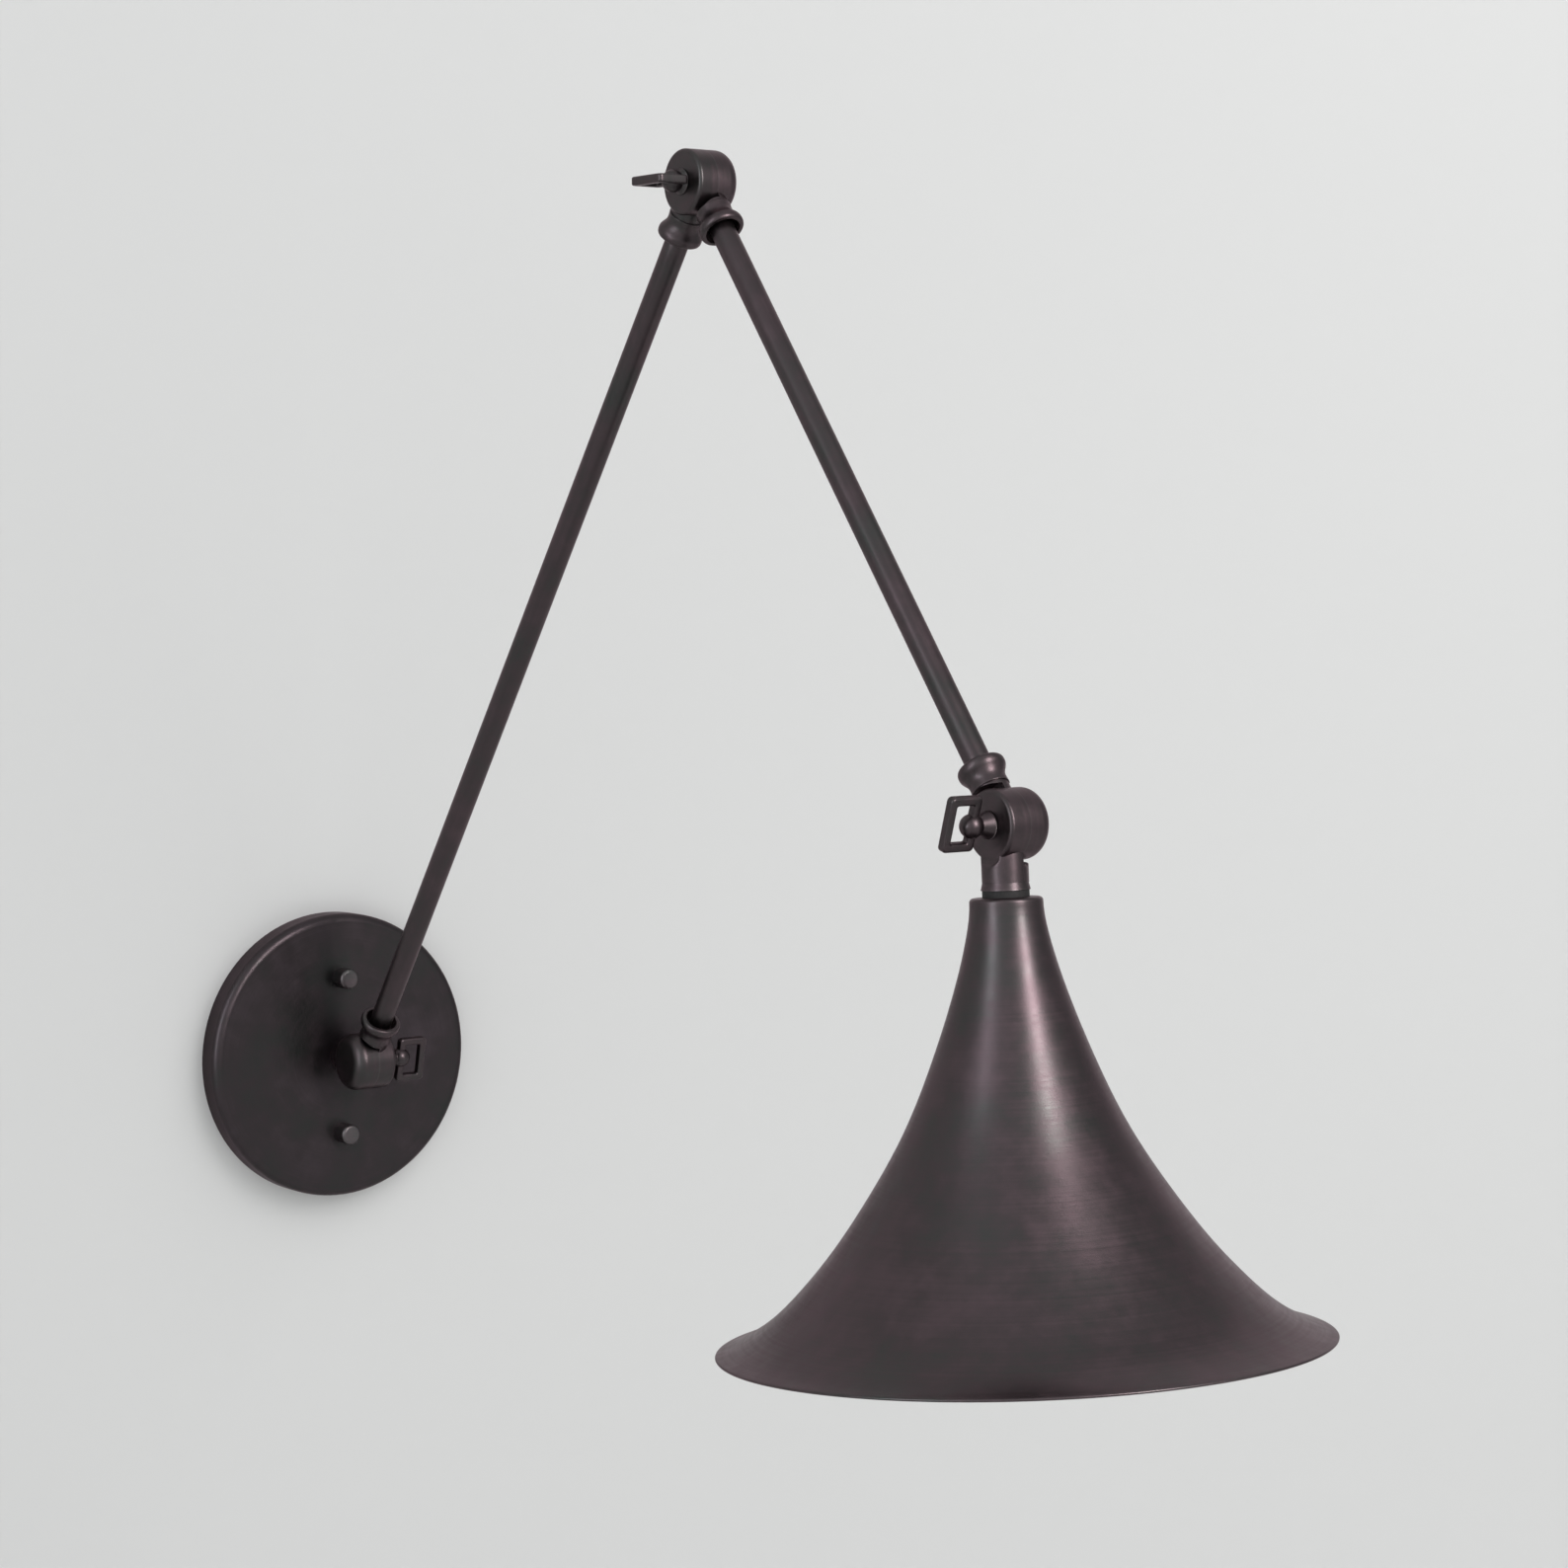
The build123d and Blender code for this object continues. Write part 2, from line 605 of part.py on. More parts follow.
NODES = {
    "mounting_strap": mounting_strap(),
    "plate_studs": plate_studs(),
    "ground_screw": ground_screw(),
    "back_plate": back_plate(),
    "cap_nuts": cap_nuts(),
    "center_nipple": center_nipple(),
    "swivel_washer": swivel_washer(),
    "nipple_lock_nut": nipple_lock_nut(),
    "base_knuckle_wall_half": base_knuckle_wall_half(),
    "base_friction_washer": friction_washer(BASE_PIVOT),
    "base_wing_key": wing_key(1, BASE_PIVOT, BASE_KEY_STANDOFF, BASE_KEY_TURN),
    "base_knuckle_arm_half": arm_knuckle(1, True, BASE_PIVOT, LOWER_ANGLE),
    "lower_tube": arm_tube(BASE_PIVOT, LOWER_ANGLE, LOWER_ARM),
    "elbow_lower_half": arm_knuckle(-1, True, ELBOW_PIVOT, LOWER_ANGLE + 180),
    "elbow_wing_key": wing_key(-1, ELBOW_PIVOT, ELBOW_KEY_STANDOFF, ELBOW_KEY_TURN),
    "elbow_friction_washer": friction_washer(ELBOW_PIVOT),
    "elbow_upper_half": arm_knuckle(1, False, ELBOW_PIVOT, UPPER_ANGLE),
    "upper_tube": arm_tube(ELBOW_PIVOT, UPPER_ANGLE, UPPER_ARM),
    "shade_knuckle_arm_half": arm_knuckle(1, False, SHADE_PIVOT, UPPER_ANGLE + 180),
    "shade_wing_key": wing_key(-1, SHADE_PIVOT, SHADE_KEY_STANDOFF, SHADE_KEY_TURN),
    "shade_friction_washer": friction_washer(SHADE_PIVOT),
    "shade_knuckle_shade_half": shade_knuckle_shade_half(),
    "neck_washer": neck_washer(),
    "shade": shade(),
    "shade_nipple": shade_nipple(),
    "shade_inner_washer": shade_inner_washer(),
    "shade_lock_nut": shade_lock_nut(),
    "socket_cap": socket_cap(),
    "socket_body": socket_body(),
    "socket_insulator": socket_insulator(),
    "socket_screw_shell": socket_screw_shell(),
    "socket_contact": socket_contact(),
}

os.makedirs("parts", exist_ok=True)
for name, shape in NODES.items():
    export_step(shape, f"parts/{name}.step")
    print(name, len(shape.solids()), round(shape.volume, 1))
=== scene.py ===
# %% [markdown]
# A swivel wall sconce: a round canopy on the wall, a two-piece arm with three
# half-lap swivels, and a trumpet shade spun from sheet. The exact solids come
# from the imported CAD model. This lesson gives them their bronze finish, makes
# the long smooth surfaces again as fine grids, and sets the camera and lights.

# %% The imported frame
import json
import math

import bmesh
import bpy
import numpy as np
from mathutils import Matrix, Vector


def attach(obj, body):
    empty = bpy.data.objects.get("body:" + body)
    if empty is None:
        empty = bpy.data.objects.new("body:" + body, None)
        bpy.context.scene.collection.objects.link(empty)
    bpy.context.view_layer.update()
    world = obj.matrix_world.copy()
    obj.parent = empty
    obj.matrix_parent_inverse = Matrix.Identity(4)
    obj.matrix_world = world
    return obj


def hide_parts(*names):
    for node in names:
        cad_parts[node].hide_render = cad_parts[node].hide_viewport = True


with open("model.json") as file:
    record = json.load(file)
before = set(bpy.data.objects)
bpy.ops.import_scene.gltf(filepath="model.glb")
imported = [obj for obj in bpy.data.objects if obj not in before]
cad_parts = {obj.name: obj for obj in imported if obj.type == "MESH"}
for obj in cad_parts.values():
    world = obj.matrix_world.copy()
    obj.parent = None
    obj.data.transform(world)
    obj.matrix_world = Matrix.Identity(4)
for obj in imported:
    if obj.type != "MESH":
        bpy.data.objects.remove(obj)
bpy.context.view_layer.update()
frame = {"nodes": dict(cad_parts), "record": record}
nodes = frame["nodes"]
print("CAD nodes:", len(nodes))

# %% [markdown]
# The lamp stays fixed to its wall, so the wall is the plane Y = 0 and the room
# lies towards -Y. The three swivels all turn about an axis along X. Their
# places are worked out from two arm lengths and the angles of the pictured pose.

# %% Measures shared by the pieces, in metres
MM = 0.001
PIVOT_OUT = 33.0 * MM
LOWER_ARM = 448.2 * MM
UPPER_ARM = 295.0 * MM
LOWER_ANGLE = math.radians(35.57)
UPPER_ANGLE = math.radians(141.85)
SHADE_ANGLE = math.radians(175.93)
SHADE_SHIFT = 2.2 * MM


def towards(angle):
    """Unit vector in the arm's plane, at an angle from straight up towards the room."""
    return np.array((0.0, -math.sin(angle), math.cos(angle)))


base_pivot = np.array((0.0, -PIVOT_OUT, 0.0))
elbow_pivot = base_pivot + LOWER_ARM * towards(LOWER_ANGLE)
shade_pivot = elbow_pivot + UPPER_ARM * towards(UPPER_ANGLE)
shade_axis = towards(SHADE_ANGLE)
shade_start = shade_pivot + np.array((-SHADE_SHIFT, 0.0, 0.0))
print("swivels:", base_pivot.round(4), elbow_pivot.round(4), shade_pivot.round(4))

# %% [markdown]
# The camera stands in the room, left of the lamp, at about the height of the
# arm's middle. Its three directions are written as a matrix, because that
# keeps the small roll of the hand-held picture. A long lens keeps the canopy
# and the shade in the proportions that the picture shows.

# %% Camera
CAMERA_PLACE = Vector((-0.79093, -1.42434, 0.22958))
CAMERA_RIGHT = Vector((0.8061, -0.5918, -0.0023)).normalized()
CAMERA_UP = Vector((0.0416, 0.0529, 0.9977)).normalized()
camera_back = CAMERA_RIGHT.cross(CAMERA_UP).normalized()
camera_up = camera_back.cross(CAMERA_RIGHT).normalized()

camera_data = bpy.data.cameras.new("camera")
camera_data.sensor_width = 36.0
camera_data.lens = 82.99
camera_data.clip_start = 0.05
camera_data.clip_end = 50.0
camera = bpy.data.objects.new("camera", camera_data)
turn = Matrix((CAMERA_RIGHT, camera_up, camera_back)).transposed()
camera.matrix_world = Matrix.Translation(CAMERA_PLACE) @ turn.to_4x4()
bpy.context.scene.collection.objects.link(camera)
bpy.context.scene.camera = camera
# Standard shows each colour about as it is written, with no film look on top.
bpy.context.scene.view_settings.view_transform = "Standard"
print("camera looks along", (-camera_back)[:])

# %% [markdown]
# Every material is a small tree of nodes. One function adds a node, sets its
# own properties and fills or links its sockets. Colours are picked as sRGB
# hex values and turned to linear light, which is what a shader works in.

# %% Helpers for materials


def linear(hex_colour):
    """sRGB hex to linear RGBA: below 0.04045 divide by 12.92, above raise to 2.4."""
    values = [int(hex_colour[i:i + 2], 16) / 255 for i in (1, 3, 5)]
    rgb = [v / 12.92 if v <= 0.04045 else ((v + 0.055) / 1.055) ** 2.4 for v in values]
    return (*rgb, 1.0)


def add(tree, kind, sockets=None, **settings):
    """Adds a node, sets its properties, and sets or links its sockets."""
    node = tree.nodes.new(kind)
    for name, value in settings.items():
        setattr(node, name, value)
    for name, value in (sockets or {}).items():
        if isinstance(value, bpy.types.NodeSocket):
            tree.links.new(value, node.inputs[name])
        else:
            node.inputs[name].default_value = value
    return node


def ramp(tree, factor, stops):
    """A colour ramp through (place, hex colour) stops."""
    node = add(tree, "ShaderNodeValToRGB", {"Fac": factor})
    bars = node.color_ramp.elements
    while len(bars) < len(stops):
        bars.new(0.5)
    for bar, (place, colour) in zip(bars, stops):
        bar.position = place
        bar.color = linear(colour)
    return node


def new_material(name):
    """An empty material with its tree and its output node."""
    material = bpy.data.materials.new(name)
    material.use_nodes = True
    material.node_tree.nodes.clear()
    tree = material.node_tree
    output = add(tree, "ShaderNodeOutputMaterial")
    return material, tree, output


# %% [markdown]
# The wall is plain pale paint. It is the only thing behind the lamp in the
# picture, so it sets the background, and it catches the soft shadow round the
# canopy. Its paint has the pale grey that the picture shows, and the light is
# plain, so it comes out about as it is written. Seen from behind the wall is
# clear, so that the lamp shows from there too. Its painted side still closes the
# canopy, as a real wall does, so the canopy's inside is dark.

# %% Wall and floor
WALL_COLOUR = "#dededd"
WALL_HALF = 3.0
FLOOR_HEIGHT = -0.8


def stage_material():
    """Matt paint on the room's side, clear from behind."""
    material, tree, output = new_material("pale_wall_paint")
    geometry = add(tree, "ShaderNodeNewGeometry")
    paint = add(tree, "ShaderNodeBsdfDiffuse", {"Color": linear(WALL_COLOUR)})
    clear = add(tree, "ShaderNodeBsdfTransparent")
    mix = add(tree, "ShaderNodeMixShader", {
        0: geometry.outputs["Backfacing"],
        1: paint.outputs[0],
        2: clear.outputs[0],
    })
    tree.links.new(mix.outputs[0], output.inputs["Surface"])
    return material


def flat_sheet(name, corners, material):
    """A four-cornered sheet that belongs to the stage."""
    mesh = bpy.data.meshes.new(name)
    mesh.from_pydata(corners, [], [(0, 1, 2, 3)])
    mesh.materials.append(material)
    sheet = bpy.data.objects.new(name, mesh)
    bpy.context.scene.collection.objects.link(sheet)
    return sheet


paint = stage_material()
wall = flat_sheet("wall", [
    (-WALL_HALF, 0, FLOOR_HEIGHT),
    (WALL_HALF, 0, FLOOR_HEIGHT),
    (WALL_HALF, 0, WALL_HALF),
    (-WALL_HALF, 0, WALL_HALF),
], paint)
flat_sheet("floor", [
    (-WALL_HALF, -2 * WALL_HALF, FLOOR_HEIGHT),
    (WALL_HALF, -2 * WALL_HALF, FLOOR_HEIGHT),
    (WALL_HALF, 0, FLOOR_HEIGHT),
    (-WALL_HALF, 0, FLOOR_HEIGHT),
], paint)
print("wall faces", tuple(wall.data.polygons[0].normal))

# %% [markdown]
# Dark metal is seen mostly by what it mirrors. The pale room round the lamp is
# brighter on the left, where the picture's window must be, and dimmer on the
# right, which is why the right edges of the tubes and the shade are darkest.
# A wide soft box overhead lights the wall and leaves a soft shadow below and
# left of the canopy, and is kept out of the metal's reflections. Two tall strips
# are there for the metal alone: one straight out from the wall draws the long
# bright streak right of the shade's middle, and a weak one far to the left
# draws the second streak. They cast no light or shadow on the wall.

# %% Light
ROOM_COLOUR = "#dfe1e2"
# How many times brighter than its colour the room is at each end.
ROOM_LEFT = 1.45
ROOM_RIGHT = 0.6
# Every light points at the middle of the sconce.
LAMP_AIM = Vector((0.0, -0.4, 0.1))

world = bpy.data.worlds.new("room")
bpy.context.scene.world = world
world.use_nodes = True
room_tree = world.node_tree
room_tree.nodes.clear()
direction = add(room_tree, "ShaderNodeTexCoord").outputs["Generated"]
sideways = add(room_tree, "ShaderNodeSeparateXYZ", {"Vector": direction})
brightness = add(room_tree, "ShaderNodeMapRange", {
    "Value": sideways.outputs["X"], "From Min": -1.0, "From Max": 1.0,
    "To Min": ROOM_LEFT, "To Max": ROOM_RIGHT,
})
room = add(room_tree, "ShaderNodeBackground", {
    "Color": linear(ROOM_COLOUR),
    "Strength": brightness.outputs[0],
})
add(room_tree, "ShaderNodeOutputWorld", {"Surface": room.outputs[0]})


def soft_box(name, azimuth, elevation, distance, size, power, colour, in_metal):
    """A soft light at two angles in degrees and a distance, for metal alone or matt paint alone."""
    data = bpy.data.lights.new(name, "AREA")
    data.shape = "RECTANGLE"
    data.size, data.size_y = size
    data.energy = power
    data.color = linear(colour)[:3]
    light = bpy.data.objects.new(name, data)
    a, e = math.radians(azimuth), math.radians(elevation)
    out = Vector((math.cos(a) * math.cos(e), math.sin(a) * math.cos(e), math.sin(e)))
    light.location = LAMP_AIM + out * distance
    light.rotation_mode = "QUATERNION"
    light.rotation_quaternion = out.to_track_quat("Z", "Y")
    light.visible_diffuse = not in_metal
    light.visible_glossy = in_metal
    bpy.context.scene.collection.objects.link(light)
    return light


soft_box("overhead_box", azimuth=312, elevation=45, distance=2.6, size=(2.4, 2.4),
         power=36.0, colour="#fffdfd", in_metal=False)
soft_box("front_strip", azimuth=276, elevation=27, distance=1.7, size=(0.32, 1.05),
         power=27.0, colour="#fff6f6", in_metal=True)
soft_box("far_left_strip", azimuth=188, elevation=14, distance=2.2, size=(0.5, 1.6),
         power=14.0, colour="#f6f8ff", in_metal=True)

# %% [markdown]
# The finish is oil-rubbed bronze: brass coloured almost black in a chemical
# bath, rubbed back by hand and waxed. It is a metal, so it has no colour but
# that of its reflections. Three things make it look real: the patina drifts
# between a purple brown and a greenish grey over about 30 mm, the tool that
# shaped the piece leaves fine marks, and the edges are painted paler, partly
# as wear from rubbing and partly as a painted highlight along them.
#
# A lathe leaves marks that run round its axis, and a drawing die leaves marks
# along the tube. Both come from the same two numbers: how far a point lies
# along the axis, and how far it stands off it.

# %% Tool marks
PATCH = 30 * MM
CLOUD = 8 * MM
# Real turning lines are about 0.2 mm apart. The picture holds about 2 pixels
# to the millimetre, so they are drawn 1.5 mm apart, as broader groups of lines.
TURNED_LINE = 1.5 * MM
DRAWN_LINE = 1.2 * MM
DRAWN_LENGTH = 60 * MM


def lathe_place(tree, place, centre, axis):
    """Splits a point into its height along an axis, its offset from it, and that distance."""
    offset = add(tree, "ShaderNodeVectorMath", {0: place, 1: tuple(centre)},
                 operation="SUBTRACT")
    height = add(tree, "ShaderNodeVectorMath", {0: offset.outputs[0], 1: tuple(axis)},
                 operation="DOT_PRODUCT")
    along = add(tree, "ShaderNodeVectorMath",
                {0: tuple(axis), "Scale": height.outputs["Value"]}, operation="SCALE")
    across = add(tree, "ShaderNodeVectorMath", {0: offset.outputs[0], 1: along.outputs[0]},
                 operation="SUBTRACT")
    distance = add(tree, "ShaderNodeVectorMath", {0: across.outputs[0]}, operation="LENGTH")
    return height.outputs["Value"], along.outputs[0], across.outputs[0], distance.outputs["Value"]


def turned_marks(tree, place, centre, axis):
    """Noise of height and distance only, so that each line closes into a ring."""
    height, _, _, distance = lathe_place(tree, place, centre, axis)
    flat = add(tree, "ShaderNodeCombineXYZ", {"X": height, "Y": distance})
    lines = add(tree, "ShaderNodeTexNoise", {
        "Vector": flat.outputs[0], "Scale": 1 / TURNED_LINE, "Detail": 4.0, "Roughness": 0.7,
    })
    return lines.outputs[0]


def drawn_marks(tree, place, centre, axis):
    """Noise that is fine across the axis and long along it."""
    _, along, across, _ = lathe_place(tree, place, centre, axis)
    fine = add(tree, "ShaderNodeVectorMath", {0: across, "Scale": 1 / DRAWN_LINE},
               operation="SCALE")
    long = add(tree, "ShaderNodeVectorMath", {0: along, "Scale": 1 / DRAWN_LENGTH},
               operation="SCALE")
    both = add(tree, "ShaderNodeVectorMath", {0: fine.outputs[0], 1: long.outputs[0]},
               operation="ADD")
    lines = add(tree, "ShaderNodeTexNoise", {
        "Vector": both.outputs[0], "Scale": 1.0, "Detail": 4.0, "Roughness": 0.65,
    })
    return lines.outputs[0]


print("line spacing in mm:", TURNED_LINE / MM, DRAWN_LINE / MM)

# %% [markdown]
# The marks change the gloss and the colour a little and dent the surface by a
# few hundredths of a millimetre. The paler edges, partly wear and partly a
# painted highlight, come from the Bevel node: where its rounded normal leaves
# the real one, the point is close to an edge.

# %% Bronze
EDGE_WIDTH = 0.9 * MM
CLOUD_DENT = 0.05 * MM
MARK_DENT = 0.03 * MM
# Shares of the clouds and of the tool marks in the tone and in the gloss.
CLOUD_IN_TONE = 0.35
MARKS_IN_TONE = 0.22
MARKS_IN_GLOSS = 0.45
# How far the rounded normal agrees with the real one, where the pale edge
# of wear and painted highlight begins and is full.
WEAR_AND_HIGHLIGHT_BEGINS = 0.995
WEAR_AND_HIGHLIGHT_FULL = 0.9
# Bare metal mirrors everything at a glancing angle. The patina is a thin brown
# skin over it, so the outlines of the real lamp stay a little purple.
GRAZING_COLOUR = "#f0e3e7"


def bronze(name, stops, edge_colour, roughness, marks, centre, axis, wear_and_highlight=0.8):
    """Patinated metal: mottling, tool marks from a marks function, pale edges of wear and painted
    highlight.
    """
    material, tree, output = new_material(name)
    place = add(tree, "ShaderNodeTexCoord").outputs["Object"]
    patch = add(tree, "ShaderNodeTexNoise", {
        "Vector": place, "Scale": 1 / PATCH, "Detail": 3.0, "Roughness": 0.55,
    })
    cloud = add(tree, "ShaderNodeTexNoise", {
        "Vector": place, "Scale": 1 / CLOUD, "Detail": 5.0, "Roughness": 0.6,
    })
    lines = marks(tree, place, centre, axis)
    mottle = add(tree, "ShaderNodeMix", {
        0: CLOUD_IN_TONE, 2: patch.outputs[0], 3: cloud.outputs[0],
    }, data_type="FLOAT")
    tone = add(tree, "ShaderNodeMix", {
        0: MARKS_IN_TONE, 2: mottle.outputs[0], 3: lines,
    }, data_type="FLOAT")
    patina = ramp(tree, tone.outputs[0], stops)
    rounded = add(tree, "ShaderNodeBevel", {"Radius": EDGE_WIDTH}, samples=6)
    geometry = add(tree, "ShaderNodeNewGeometry")
    agreement = add(tree, "ShaderNodeVectorMath", {
        0: rounded.outputs[0], 1: geometry.outputs["Normal"],
    }, operation="DOT_PRODUCT")
    edge = add(tree, "ShaderNodeMapRange", {
        "Value": agreement.outputs["Value"],
        "From Min": WEAR_AND_HIGHLIGHT_BEGINS, "From Max": WEAR_AND_HIGHLIGHT_FULL, "To Min": 0.0, "To Max": wear_and_highlight,
    })
    # The paler edges: partly wear from rubbing, partly a painted highlight, broken up by the
    # clouds.
    rubbed = add(tree, "ShaderNodeMath", {
        0: edge.outputs[0], 1: cloud.outputs[0],
    }, operation="MULTIPLY")
    colour = add(tree, "ShaderNodeMix", {
        0: rubbed.outputs[0], 6: patina.outputs[0], 7: linear(edge_colour),
    }, data_type="RGBA")
    wax = add(tree, "ShaderNodeMix", {
        0: MARKS_IN_GLOSS, 2: cloud.outputs[0], 3: lines,
    }, data_type="FLOAT")
    gloss = add(tree, "ShaderNodeMapRange", {
        "Value": wax.outputs[0], "From Min": 0.35, "From Max": 0.65,
        "To Min": roughness[0], "To Max": roughness[1],
    })
    dents = add(tree, "ShaderNodeBump", {
        "Strength": 1.0, "Distance": CLOUD_DENT, "Height": cloud.outputs[0],
    })
    scored = add(tree, "ShaderNodeBump", {
        "Strength": 1.0, "Distance": MARK_DENT, "Height": lines,
        "Normal": dents.outputs[0],
    })
    shader = add(tree, "ShaderNodeBsdfPrincipled", {
        "Base Color": colour.outputs[2],
        "Metallic": 1.0,
        "Specular Tint": linear(GRAZING_COLOUR),
        "Roughness": gloss.outputs[0],
        "Normal": scored.outputs[0],
    })
    tree.links.new(shader.outputs[0], output.inputs["Surface"])
    return material


# From greenish grey to purple brown. The canopy's copy is darker, as painted
# shade, and the knobs' copy is paler, as a painted highlight.
BRONZE_STOPS = [(0.32, "#3f4341"), (0.5, "#494244"), (0.66, "#54484c")]
SHADED_CANOPY_STOPS = [(0.32, "#373b39"), (0.5, "#3e393b"), (0.66, "#474044")]
HIGHLIT_KNOB_STOPS = [(0.32, "#505553"), (0.5, "#5c5658"), (0.66, "#675b5f")]
BRONZE_EDGE = "#8b8384"
SHADED_CANOPY_EDGE = "#797173"
SHADE_ROUGHNESS = (0.3, 0.42)
BRONZE_ROUGHNESS = (0.32, 0.44)
KNOB_ROUGHNESS = (0.34, 0.46)
# How pale the edges get: partly wear, partly a painted highlight.
KNUCKLE_WEAR_AND_HIGHLIGHT = 0.2
KNOB_WEAR_AND_HIGHLIGHT = 0.6
ALONG_X = (1.0, 0.0, 0.0)
ALONG_Y = (0.0, 1.0, 0.0)
ORIGIN = (0.0, 0.0, 0.0)

# Fine rings on the shade and the canopy spread each reflection into a soft fan.
shade_bronze = bronze("spun_oil_rubbed_bronze", BRONZE_STOPS, BRONZE_EDGE, SHADE_ROUGHNESS,
                      turned_marks, shade_start, shade_axis)
# The canopy takes the darker copy of the bronze, as painted shade.
shaded_canopy_bronze = bronze("spun_canopy_bronze", SHADED_CANOPY_STOPS, SHADED_CANOPY_EDGE, BRONZE_ROUGHNESS,
                       turned_marks, ORIGIN, ALONG_Y)
# Lines along a drawn tube keep the streak on it narrow and straight.
lower_tube_bronze, upper_tube_bronze = (
    bronze("drawn_tube_bronze_" + name, BRONZE_STOPS, BRONZE_EDGE, BRONZE_ROUGHNESS,
           drawn_marks, pivot, towards(angle))
    for name, pivot, angle in (
        ("lower", base_pivot, LOWER_ANGLE),
        ("upper", elbow_pivot, UPPER_ANGLE),
    )
)
# The knuckles are turned too, so their marks run round their own pins.
base_bronze, elbow_bronze, joint_bronze = (
    bronze("turned_knuckle_bronze_" + name, BRONZE_STOPS, BRONZE_EDGE, BRONZE_ROUGHNESS,
           turned_marks, pivot, ALONG_X, KNUCKLE_WEAR_AND_HIGHLIGHT)
    for name, pivot in (
        ("base", base_pivot),
        ("elbow", elbow_pivot),
        ("shade", shade_pivot),
    )
)
# The knobs take the paler copy of the bronze, as a painted highlight.
highlit_knob_bronze = bronze("turned_cap_bronze", HIGHLIT_KNOB_STOPS, BRONZE_EDGE, KNOB_ROUGHNESS,
                     turned_marks, ORIGIN, ALONG_Y, KNOB_WEAR_AND_HIGHLIGHT)
print("bronzes:", [m.name for m in bpy.data.materials if "bronze" in m.name])

# %% [markdown]
# A spun part is one profile carried round an axis. The profile is an array of
# radii and heights, so the whole surface is one product of arrays.

# %% Surfaces of revolution


def smooth_step(part):
    """3 p^2 - 2 p^3, with p held between 0 and 1: it leaves and arrives level."""
    part = np.clip(part, 0, 1)
    return part * part * (3 - 2 * part)


def grid_faces(rows, columns):
    """Quads of a grid that closes on itself both ways."""
    i, j = np.meshgrid(np.arange(rows), np.arange(columns), indexing="ij")
    below, beside = (i + 1) % rows, (j + 1) % columns
    corners = (i * columns + j, i * columns + beside, below * columns + beside,
               below * columns + j)
    return np.stack(corners, axis=-1).reshape(-1, 4)


def mesh_piece(name, points, faces, material, body, slot, *replaced):
    """Puts points and faces into a closed mesh, faces outwards, that rides on a body."""
    mesh = bpy.data.meshes.new(name)
    mesh.from_pydata(points.tolist(), [], [list(face) for face in faces])
    closed = bmesh.new()
    closed.from_mesh(mesh)
    if closed.calc_volume(signed=True) < 0:
        bmesh.ops.reverse_faces(closed, faces=closed.faces)
    closed.to_mesh(mesh)
    closed.free()
    mesh.polygons.foreach_set("use_smooth", np.ones(len(mesh.polygons), bool))
    mesh.materials.append(material)
    mesh.update()
    piece = bpy.data.objects.new(name, mesh)
    bpy.context.scene.collection.objects.link(piece)
    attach(piece, body)
    if replaced:
        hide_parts(*replaced)
    return piece


def spun(profile, origin, axis, columns=192, ripple=0.0):
    """P(i, a) = origin + (r_i + ripple) (cos a, sin a) across the axis + h_i along it."""
    axis = np.asarray(axis)
    across = np.array((1.0, 0.0, 0.0))
    third = np.cross(axis, across)
    angle = np.arange(columns) * 2 * math.pi / columns
    ring = np.cos(angle)[:, None] * across + np.sin(angle)[:, None] * third
    radius = profile[:, 0][:, None] + ripple * np.ones(columns)
    height = profile[:, 1][:, None, None]
    points = origin + radius[:, :, None] * ring + height * axis
    return points.reshape(-1, 3)


def capped(rings, start, end, columns):
    """Rows of rings with a fan of triangles to a point at each end."""
    rows = len(rings) // columns
    faces = grid_faces(rows, columns)[:(rows - 1) * columns].tolist()
    column = np.arange(columns)
    beside = (column + 1) % columns
    first, last, top = rows * columns, rows * columns + 1, (rows - 1) * columns
    faces += np.stack((np.full(columns, first), beside, column), axis=1).tolist()
    faces += np.stack((np.full(columns, last), top + column, top + beside), axis=1).tolist()
    return np.concatenate((rings, [start, end])), faces


def cubic_through(knots, start_slope, end_slope, count):
    """Smooth curve through points: piecewise cubics with equal curvature where they meet."""
    knots = np.asarray(knots, float)
    step = np.linalg.norm(np.diff(knots, axis=0), axis=1)
    t = np.concatenate(([0.0], np.cumsum(step)))
    n = len(t)
    a = np.zeros((n, n))
    b = np.zeros((n, 2))
    a[0, 0] = a[-1, -1] = 1.0
    b[0] = start_slope
    b[-1] = end_slope
    for k in range(1, n - 1):
        a[k, k - 1:k + 2] = (1 / step[k - 1], 2 / step[k - 1] + 2 / step[k], 1 / step[k])
        b[k] = 3 * ((knots[k] - knots[k - 1]) / step[k - 1] ** 2
                    + (knots[k + 1] - knots[k]) / step[k] ** 2)
    slope = np.linalg.solve(a, b)
    u = np.linspace(0.0, t[-1], count)
    k = np.clip(np.searchsorted(t, u, side="right") - 1, 0, n - 2)
    w = ((u - t[k]) / step[k])[:, None]
    length = step[k][:, None]
    return ((1 + 2 * w) * (1 - w) ** 2 * knots[k] + w * (1 - w) ** 2 * length * slope[k]
            + w ** 2 * (3 - 2 * w) * knots[k + 1] + w ** 2 * (w - 1) * length * slope[k + 1])


# %% [markdown]
# The shade is a disc of sheet pressed over a turning block: a flat top, a slim
# throat and a mouth that rolls outwards. Its profile is measured as fractions
# of the height and of the flare, and the sheet is one millimetre thick.

